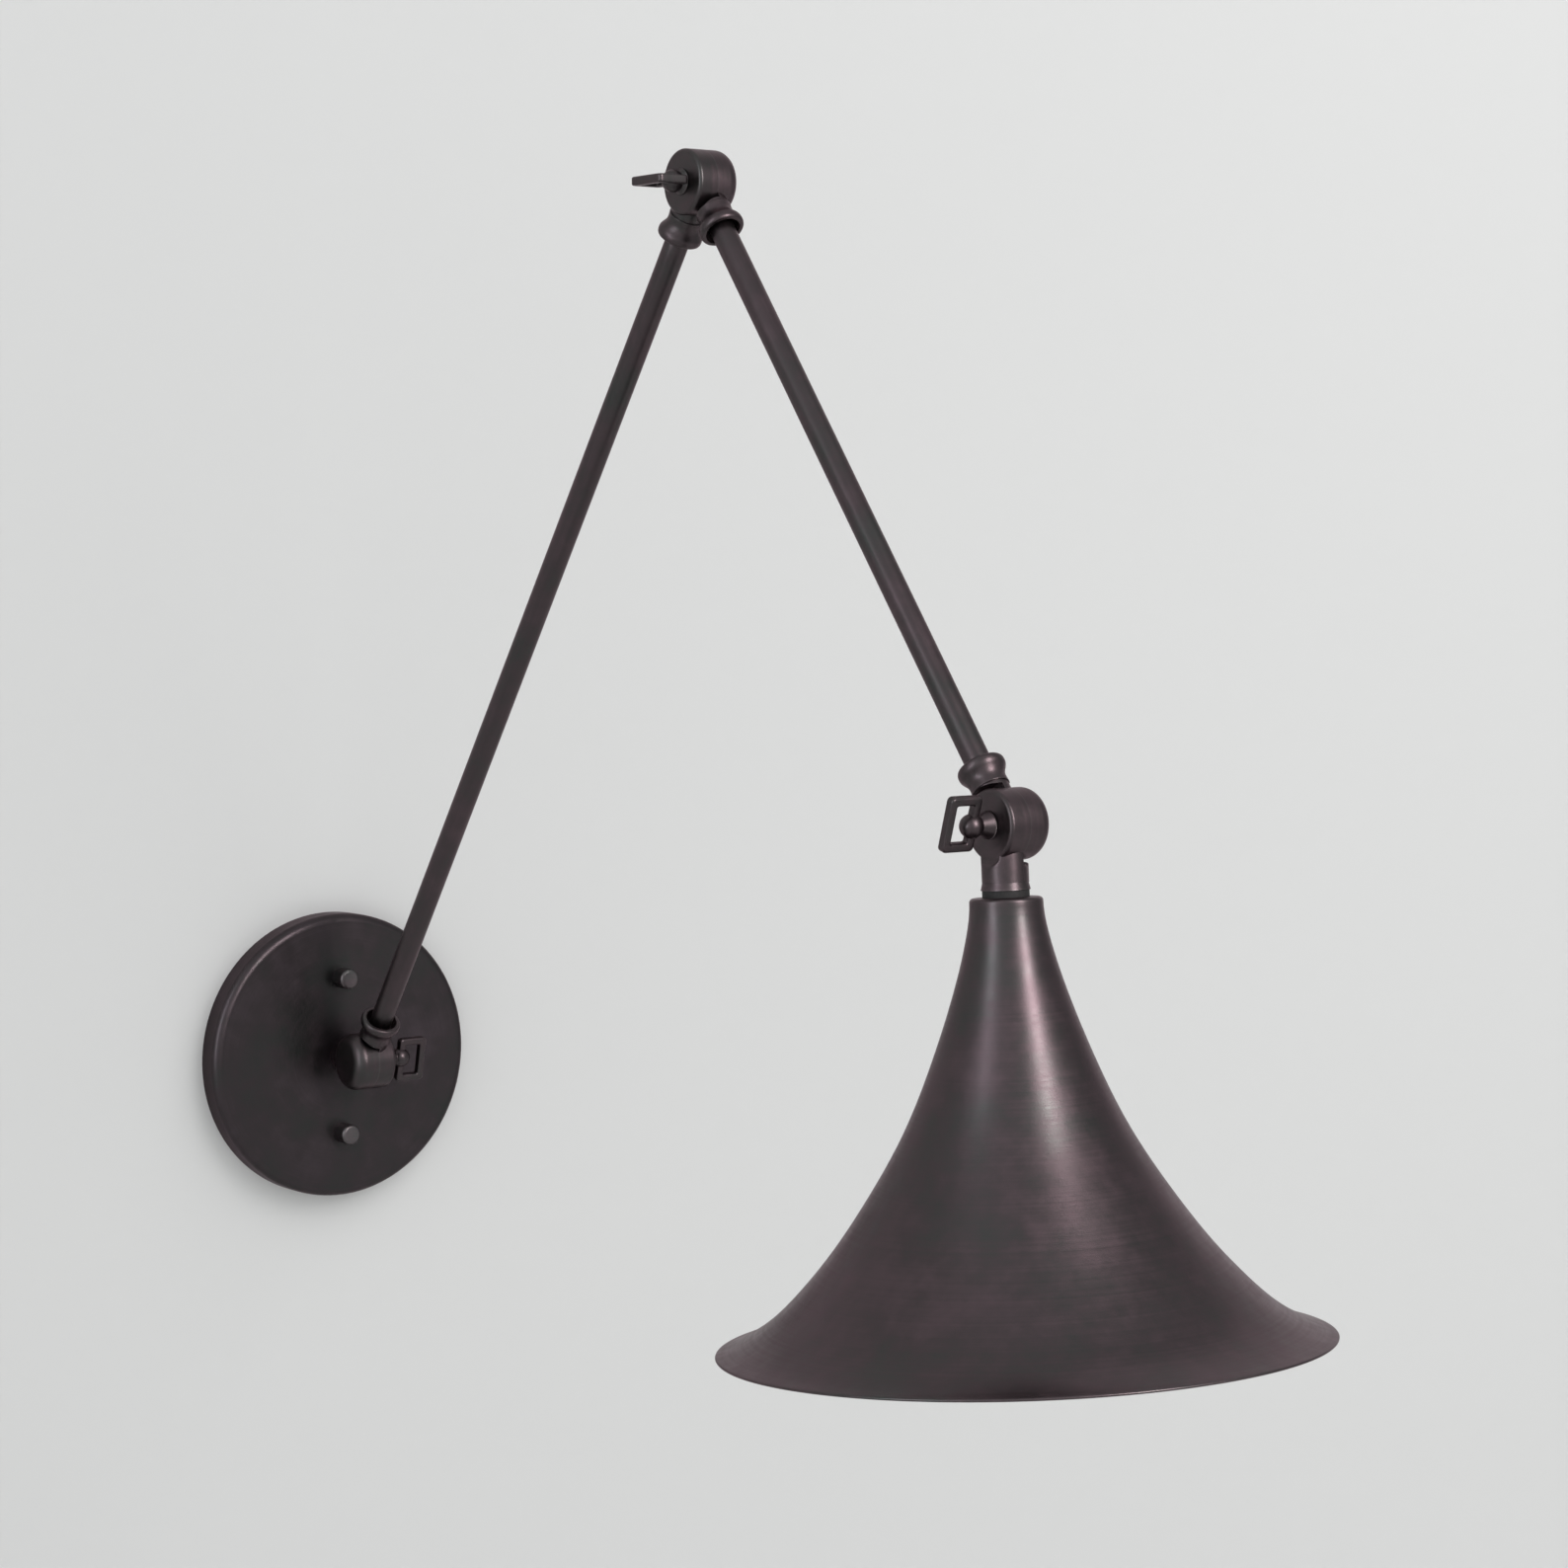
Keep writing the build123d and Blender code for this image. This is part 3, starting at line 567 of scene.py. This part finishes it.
# %% Shade
SHADE_TOP = 24.9 * MM
SHADE_HEIGHT = 152.4 * MM
SHADE_RIM_R = 106.0 * MM
SHADE_TOP_R = 12.7 * MM
SHADE_TOP_ROUND = 1.5 * MM
SHADE_WALL = 1.0 * MM
SHADE_HOLE_R = 5.3 * MM
# At the lip the sheet runs this far along the axis for each unit outwards.
LIP_DROP = 0.28
SHADE_ROWS = 160
SHADE_COLUMNS = 256
# Share of the height, and share of the way from the top's radius to the mouth's.
SHADE_CURVE = np.array([
    (0.085, 0.016), (0.204, 0.069), (0.361, 0.161), (0.518, 0.275),
    (0.676, 0.432), (0.794, 0.573), (0.872, 0.686), (0.951, 0.831),
])


def shade_profile():
    """Outside down, round the lip, inside up and across the flat top, as one loop."""
    knots = [(SHADE_TOP_R, SHADE_TOP + SHADE_TOP_ROUND)]
    for part_h, part_r in SHADE_CURVE:
        radius = SHADE_TOP_R + part_r * (SHADE_RIM_R - SHADE_TOP_R)
        knots.append((radius, SHADE_TOP + part_h * SHADE_HEIGHT))
    knots.append((SHADE_RIM_R, SHADE_TOP + SHADE_HEIGHT))
    end = np.array((1.0, LIP_DROP)) / math.hypot(1.0, LIP_DROP)
    outer = cubic_through(knots, (0.0, 1.0), end, SHADE_ROWS)
    along = np.gradient(outer, axis=0)
    along /= np.linalg.norm(along, axis=1)[:, None]
    inward = np.stack((-along[:, 1], along[:, 0]), axis=1)
    inner = outer + inward * SHADE_WALL
    bend = np.linspace(0, math.pi, 9)[1:-1, None]
    middle = (outer[-1] + inner[-1]) / 2
    half = SHADE_WALL / 2
    lip = middle - np.cos(bend) * inward[-1] * half + np.sin(bend) * along[-1] * half
    turn = np.linspace(0, math.pi / 2, 7)[1:, None]
    corner_middle = np.array((SHADE_TOP_R - SHADE_TOP_ROUND, SHADE_TOP + SHADE_TOP_ROUND))
    corner = corner_middle + SHADE_TOP_ROUND * np.concatenate(
        (np.cos(turn), -np.sin(turn)), axis=1)
    under = SHADE_TOP + SHADE_TOP_ROUND
    flat = np.array([(SHADE_HOLE_R, SHADE_TOP), (SHADE_HOLE_R, under)])
    return np.concatenate((outer, lip, inner[::-1], flat[::-1], corner[::-1]))


profile = shade_profile()
points = spun(profile, shade_start, shade_axis, SHADE_COLUMNS)
trumpet = mesh_piece("shade_spun", points, grid_faces(len(profile), SHADE_COLUMNS),
                     shade_bronze, "shade_head", "dark_bronze", "shade")

# %% [markdown]
# The arms are plain drawn tube, seated in the cup ferrules of the knuckles. The
# die leaves them truly round and straight, and the saw leaves a small bevel at
# each end, so the profile is a long loop: outside, end, inside, end.

# %% Arm tubes
TUBE_R = 4.7625 * MM
TUBE_WALL = 1.0 * MM
TUBE_BEVEL = 0.2 * MM
SEAT_END = 15.5 * MM
TUBE_ROWS = 24
TUBE_COLUMNS = 96


def tube_profile(start, end):
    """Outside from start to end, a bevel, the inside back again, a bevel."""
    heights = np.linspace(start + TUBE_BEVEL, end - TUBE_BEVEL, TUBE_ROWS)
    outside = np.stack((np.full(TUBE_ROWS, TUBE_R), heights), axis=1)
    bore = TUBE_R - TUBE_WALL
    inside = np.stack((np.full(TUBE_ROWS, bore), heights[::-1]), axis=1)
    far = np.array([(TUBE_R - TUBE_BEVEL, end), (bore + TUBE_BEVEL, end)])
    near = np.array([(bore + TUBE_BEVEL, start), (TUBE_R - TUBE_BEVEL, start)])
    return np.concatenate((outside, far, inside, near))


for name, pivot, angle, length, body, finish in (
    ("lower_tube", base_pivot, LOWER_ANGLE, LOWER_ARM, "lower_arm", lower_tube_bronze),
    ("upper_tube", elbow_pivot, UPPER_ANGLE, UPPER_ARM, "upper_arm", upper_tube_bronze),
):
    profile = tube_profile(SEAT_END, length - SEAT_END)
    points = spun(profile, pivot, towards(angle), TUBE_COLUMNS)
    pipe = mesh_piece(name + "_drawn", points, grid_faces(len(profile), TUBE_COLUMNS),
                      finish, body, "dark_bronze", name)
    print(pipe.name, len(pipe.data.polygons), "quads")

# %% [markdown]
# The lampholder's screw shell is rolled from thin brass with the coarse round
# thread of a medium base: 7 turns to the inch, so 3.63 mm from crest to crest.
# A wave that moves one crest on for each turn round the axis is a true helix,
# and it fades out near both ends, where the sheet stays plain.

# %% Screw shell
SHELL_START = 72.0 * MM
SHELL_LENGTH = 24.5 * MM
SHELL_FOOT_R = 14.0 * MM
SHELL_R = 13.45 * MM
SHELL_SHEET = 0.35 * MM
THREAD_PITCH = 25.4 / 7 * MM
THREAD_WAVE = 0.3 * MM
THREAD_FADE = 2.5 * MM
SHELL_ROWS = 110
SHELL_COLUMNS = 120


def thread_wave(heights, columns):
    """wave * cos(2 pi h / pitch - angle), times a fade that is 0 at both ends."""
    angle = np.arange(columns) * 2 * math.pi / columns
    along = heights - SHELL_START
    room = np.minimum(along, SHELL_LENGTH - along) - SHELL_SHEET
    fade = smooth_step(room / THREAD_FADE)
    phase = 2 * math.pi * along[:, None] / THREAD_PITCH - angle[None, :]
    return THREAD_WAVE * fade[:, None] * np.cos(phase)


heights = np.linspace(SHELL_START + SHELL_SHEET, SHELL_START + SHELL_LENGTH, SHELL_ROWS)
outside = np.stack((np.full(SHELL_ROWS, SHELL_R + SHELL_SHEET / 2), heights), axis=1)
inside = np.stack((np.full(SHELL_ROWS, SHELL_R - SHELL_SHEET / 2), heights[::-1]), axis=1)
foot = np.array([
    (SHELL_R - SHELL_SHEET / 2, SHELL_START),
    (SHELL_FOOT_R, SHELL_START),
    (SHELL_FOOT_R, SHELL_START + SHELL_SHEET),
])
shell_profile = np.concatenate((outside, inside, foot))
wave = np.concatenate((
    thread_wave(outside[:, 1], SHELL_COLUMNS),
    thread_wave(inside[:, 1], SHELL_COLUMNS),
    np.zeros((len(foot), SHELL_COLUMNS)),
))
shell_points = spun(shell_profile, shade_start, shade_axis, SHELL_COLUMNS, wave)
shell_faces = grid_faces(len(shell_profile), SHELL_COLUMNS)
print("thread turns:", round(SHELL_LENGTH / THREAD_PITCH, 1))

# %% [markdown]
# Each swivel is locked by a wing key: a pivot screw with a cone and a ball on
# its stem, and a flat pierced grip for two fingers. The grip is a strip between
# two rounded rectangles. Both outlines get the same number of points in the
# same order, so one small rounded section is stretched between each pair.

# %% Wing keys
KEY_WIDTH = 13.4 * MM
KEY_LENGTH = 19.7 * MM
KEY_BAR = 3.0 * MM
KEY_THICK = 3.4 * MM
KEY_CORNER = 1.6 * MM
KEY_EDGE = 0.7 * MM
KEY_LIFT = 1.1 * MM
BALL_R = 4.3 * MM
FOOT_R = 5.0 * MM
FOOT_GAP = 0.3 * MM
STEM_R = 2.5 * MM
STEM_DEPTH = 19.0 * MM
KEYED_DEPTH = 8.5 * MM


def rounded_outline(width, height, corner, per_corner=9, per_side=5):
    """Corner arcs of a rectangle, anticlockwise, with points spread along the sides."""
    turn = np.linspace(0, math.pi / 2, per_corner)
    signs = ((1, 1), (-1, 1), (-1, -1), (1, -1))
    arcs = []
    for quarter, (side_x, side_y) in enumerate(signs):
        middle = np.array((side_x * (width / 2 - corner), side_y * (height / 2 - corner)))
        angle = turn + quarter * math.pi / 2
        arcs.append(middle + corner * np.stack((np.cos(angle), np.sin(angle)), axis=1))
    part = np.linspace(0, 1, per_side + 2)[1:-1, None]
    outline = []
    for arc, following in zip(arcs, arcs[1:] + arcs[:1]):
        outline += [arc, arc[-1] * (1 - part) + following[0] * part]
    return np.concatenate(outline)


def key_grip():
    """P(s, t) = middle of the two outlines at s + u_t * half their gap, lifted by w_t."""
    outer = rounded_outline(KEY_WIDTH, KEY_LENGTH, KEY_CORNER)
    inner = rounded_outline(KEY_WIDTH - 2 * KEY_BAR, KEY_LENGTH - 2 * KEY_BAR, KEY_CORNER / 2)
    section = rounded_outline(KEY_BAR, KEY_THICK, KEY_EDGE, per_corner=5, per_side=2)
    u = section[:, 0] / (KEY_BAR / 2)
    middle = (outer + inner)[:, None, :] / 2
    half_gap = (outer - inner)[:, None, :] / 2
    flat = middle + u[None, :, None] * half_gap
    lift = np.broadcast_to(section[:, 1], flat.shape[:2])
    points = np.stack((flat[..., 0] + KEY_WIDTH / 2, lift, flat[..., 1] + KEY_LIFT), axis=-1)
    return points.reshape(-1, 3), grid_faces(len(outer), len(section)).tolist()


def key_pin(standoff, columns=64):
    """Spindle along X: the stem, then at each place the wider of the cone and the ball."""
    foot = FOOT_GAP - standoff
    end = KEY_BAR / 2 + BALL_R
    turn = np.linspace(math.pi, 0, 60)
    x = KEY_BAR / 2 + BALL_R * np.cos(turn)
    x = np.concatenate((np.linspace(foot, x[0], 8)[:-1], x)) if foot < x[0] else x[x > foot]
    ball = np.sqrt(np.clip(BALL_R ** 2 - (x - KEY_BAR / 2) ** 2, 0, None))
    cone = np.where(x < 0, STEM_R + (FOOT_R - STEM_R) * x / foot, 0)
    head = np.stack((np.maximum(ball, cone), x), axis=1)[:-1]
    stem = np.array([(STEM_R, -STEM_DEPTH), (STEM_R, foot), (FOOT_R, foot)])
    rings = np.concatenate((stem, head))
    points = spun(rings, np.zeros(3), np.array((0.0, 0.0, 1.0)), columns)[:, (2, 0, 1)]
    return capped(points, (-STEM_DEPTH, 0, 0), (end, 0, 0), columns)


def at_swivel(points, side, pivot, standoff, degrees):
    """Turns key points about X, mirrored to the left by half a turn, and moves them out."""
    local = points * np.array((side, side, 1.0))
    a = math.radians(degrees)
    turn = np.array(((1, 0, 0), (0, math.cos(a), -math.sin(a)), (0, math.sin(a), math.cos(a))))
    place = pivot + np.array((side * (KEYED_DEPTH + standoff), 0, 0))
    return local @ turn.T + place


grip, grip_faces = key_grip()
for name, side, pivot, standoff, degrees, finish in (
    ("base", 1, base_pivot, 7.5 * MM, 192, base_bronze),
    ("elbow", -1, elbow_pivot, 2.5 * MM, -90, elbow_bronze),
    ("shade", -1, shade_pivot, 6.0 * MM, 17, joint_bronze),
):
    pin, pin_faces = key_pin(standoff)
    body = name + "_key"
    mesh_piece(body + "_grip", at_swivel(grip, side, pivot, standoff, degrees), grip_faces,
               finish, body, "dark_bronze", name + "_wing_key")
    mesh_piece(body + "_pin", at_swivel(pin, side, pivot, standoff, degrees), pin_faces,
               finish, body, "dark_bronze")
    print(body, len(grip_faces) + len(pin_faces), "faces")

# %% [markdown]
# Each arm tube ends in a cup ferrule. The CAD solid carries the cup with a
# plain bead. The real one is turned with a narrower throat that flares into a
# flat lip, so a thin turned collar is fitted over the solid. Its outside is one
# smooth curve through a few measured rings, and its bore stays in the solid.

# %% Ferrule collars
COLLAR_OUTSIDE = np.array([
    (6.95, 14.5), (6.8, 16.2), (6.85, 18.0), (7.75, 20.1), (8.6, 21.7), (8.72, 22.7),
    (8.6, 23.7), (8.15, 24.35), (7.6, 24.5), (7.0, 24.42),
]) * MM
COLLAR_BORE = np.array([
    (6.72, 24.0), (6.72, 19.6), (6.3, 19.4), (6.3, 14.6),
]) * MM
COLLAR_COLUMNS = 96


def collar_profile():
    """The outside as a smooth curve from the knuckle to the lip, then the bore back."""
    outside = cubic_through(COLLAR_OUTSIDE, (-0.1, 1.0), (-0.7, -0.7), 48)
    return np.concatenate((outside, COLLAR_BORE))


for name, pivot, angle, body, finish in (
    ("base_collar", base_pivot, LOWER_ANGLE, "lower_arm", base_bronze),
    ("elbow_lower_collar", elbow_pivot, LOWER_ANGLE + math.pi, "lower_arm", elbow_bronze),
    ("elbow_upper_collar", elbow_pivot, UPPER_ANGLE, "upper_arm", elbow_bronze),
    ("shade_arm_collar", shade_pivot, UPPER_ANGLE + math.pi, "upper_arm", joint_bronze),
):
    profile = collar_profile()
    points = spun(profile, pivot, towards(angle), COLLAR_COLUMNS)
    mesh_piece(name, points, grid_faces(len(profile), COLLAR_COLUMNS), finish, body,
               "dark_bronze")
    print(name, len(profile), "rings")

# %% [markdown]
# Under the shade's swivel the flat-faced half runs down into its round neck
# without a waist. The missing metal is a round bar cut flat on both sides, so
# that it stays clear of the other half: a circle whose sideways coordinate is
# limited between two planes. Lower down the outer plane moves away, so the flat
# face flares into the round neck.

# %% Neck cheek
NECK_R = 8.03 * MM
CHEEK_LEFT = 0.1 * MM
CHEEK_START = 7.0 * MM
CHEEK_END = 19.5 * MM
FLARE_START = 11.5 * MM
FLARE_LENGTH = 3.5 * MM
CRISP_END = 0.05 * MM
CHEEK_COLUMNS = 120


def cheek_points():
    """P(h, a) = h along the neck, with x = R cos a limited between two planes, R sin a across."""
    angle = np.arange(CHEEK_COLUMNS) * 2 * math.pi / CHEEK_COLUMNS
    between = np.linspace(CHEEK_START + CRISP_END, CHEEK_END - CRISP_END, 24)
    heights = np.concatenate(([CHEEK_START], between, [CHEEK_END]))
    flare = smooth_step((heights - FLARE_START) / FLARE_LENGTH)
    flat_face = CHEEK_LEFT - KEYED_DEPTH
    outer = flat_face - flare * (NECK_R + SHADE_SHIFT + flat_face)
    x = NECK_R * np.cos(angle)[None, :] - SHADE_SHIFT
    x = np.clip(x, outer[:, None], -CHEEK_LEFT)
    across = NECK_R * np.sin(angle)[None, :, None] * np.cross(shade_axis, ALONG_X)
    along = heights[:, None, None] * shade_axis
    return (shade_pivot + x[:, :, None] * np.array(ALONG_X) + across + along).reshape(-1, 3)


middle = np.array((-KEYED_DEPTH / 2, 0, 0)) + shade_pivot
cheek, cheek_faces = capped(cheek_points(), middle + CHEEK_START * shade_axis,
                            middle + CHEEK_END * shade_axis, CHEEK_COLUMNS)
mesh_piece("neck_cheek", cheek, cheek_faces, joint_bronze, "shade_head", "dark_bronze")
print("neck cheek:", len(cheek_faces), "faces")

# %% [markdown]
# The other finishes are plain ones, seen inside the shade and behind the
# canopy. One function makes them, because they differ only in colour, gloss,
# and whether they are metal: each has a fine grain in its colour and gloss, and
# a faint dent, at the size that its surface really has.

# %% Other finishes
GLOSS_SPREAD = 0.07


def plain_finish(name, light, dark, roughness, metallic, grain_size, dent):
    """Grain noise of one size that mixes two colours, varies the gloss, and dents."""
    material, tree, output = new_material(name)
    place = add(tree, "ShaderNodeTexCoord").outputs["Object"]
    grain = add(tree, "ShaderNodeTexNoise", {
        "Vector": place, "Scale": 1 / grain_size, "Detail": 5.0, "Roughness": 0.6,
    })
    tone = ramp(tree, grain.outputs[0], [(0.35, dark), (0.65, light)])
    gloss = add(tree, "ShaderNodeMapRange", {
        "Value": grain.outputs[0], "From Min": 0.35, "From Max": 0.65,
        "To Min": roughness - GLOSS_SPREAD, "To Max": roughness + GLOSS_SPREAD,
    })
    bump = add(tree, "ShaderNodeBump", {
        "Strength": 1.0, "Distance": dent, "Height": grain.outputs[0],
    })
    shader = add(tree, "ShaderNodeBsdfPrincipled", {
        "Base Color": tone.outputs[0],
        "Metallic": metallic,
        "Roughness": gloss.outputs[0],
        "Normal": bump.outputs[0],
    })
    tree.links.new(shader.outputs[0], output.inputs["Surface"])
    return material


# Vulcanised fibre is pressed paper: matt, with a short dull grain.
fibre = plain_finish("vulcanised_fibre", "#171616", "#0f0e0e", roughness=0.7, metallic=0.0,
                     grain_size=1.2 * MM, dent=0.03 * MM)
# Zinc plate has a bluish grey spangle and a soft shine.
zinc = plain_finish("zinc_plated_steel", "#b9bdc1", "#989ca1", roughness=0.34, metallic=1.0,
                    grain_size=2.5 * MM, dent=0.02 * MM)
# The earth screw is dipped in green lacquer, which pools smooth and half glossy.
green = plain_finish("green_lacquered_steel", "#2f6b3c", "#245431", roughness=0.3,
                     metallic=0.0, grain_size=2 * MM, dent=0.02 * MM)
# Phenolic is moulded against polished steel, so it is black and fairly glossy.
phenolic = plain_finish("phenolic_moulding", "#1e1c1b", "#131211", roughness=0.28,
                        metallic=0.0, grain_size=1.5 * MM, dent=0.01 * MM)
# Bare rolled brass is yellow, with darker tarnish in small clouds.
brass = plain_finish("rolled_brass", "#d6b26c", "#ad8b4c", roughness=0.28, metallic=1.0,
                     grain_size=4 * MM, dent=0.02 * MM)
print("plain finishes:", [m.name for m in (fibre, zinc, green, phenolic, brass)])

# %% [markdown]
# The shell needs its brass, so it becomes a piece only now. Every CAD node that
# is still showing then gets the finish of its own slot, and the knuckles get
# marks that run round their own pins.

# %% Finishes on the pieces
shell = mesh_piece("rolled_screw_shell", shell_points, shell_faces, brass, "shade_head",
                   "bare_brass", "socket_screw_shell")

slot_finish = {
    "dark_bronze": joint_bronze,
    "black_fibre": fibre,
    "zinc_steel": zinc,
    "green_steel": green,
    "black_moulding": phenolic,
    "bare_brass": brass,
}
own_finish = {
    # The canopy gets the darker copy of the bronze: painted shade.
    "back_plate": shaded_canopy_bronze,
    # The knobs get the paler copy of the bronze: a painted highlight.
    "cap_nuts": highlit_knob_bronze,
    "base_knuckle_wall_half": base_bronze,
    "base_knuckle_arm_half": base_bronze,
    "elbow_lower_half": elbow_bronze,
    "elbow_upper_half": elbow_bronze,
}
slot_of = {part["node"]: part["material_slot"] for part in frame["record"]["subparts"]}
for name, node in nodes.items():
    finish = own_finish.get(name, slot_finish[slot_of[name]])
    for place in node.material_slots:
        place.material = finish
print("finished nodes:", len(nodes))
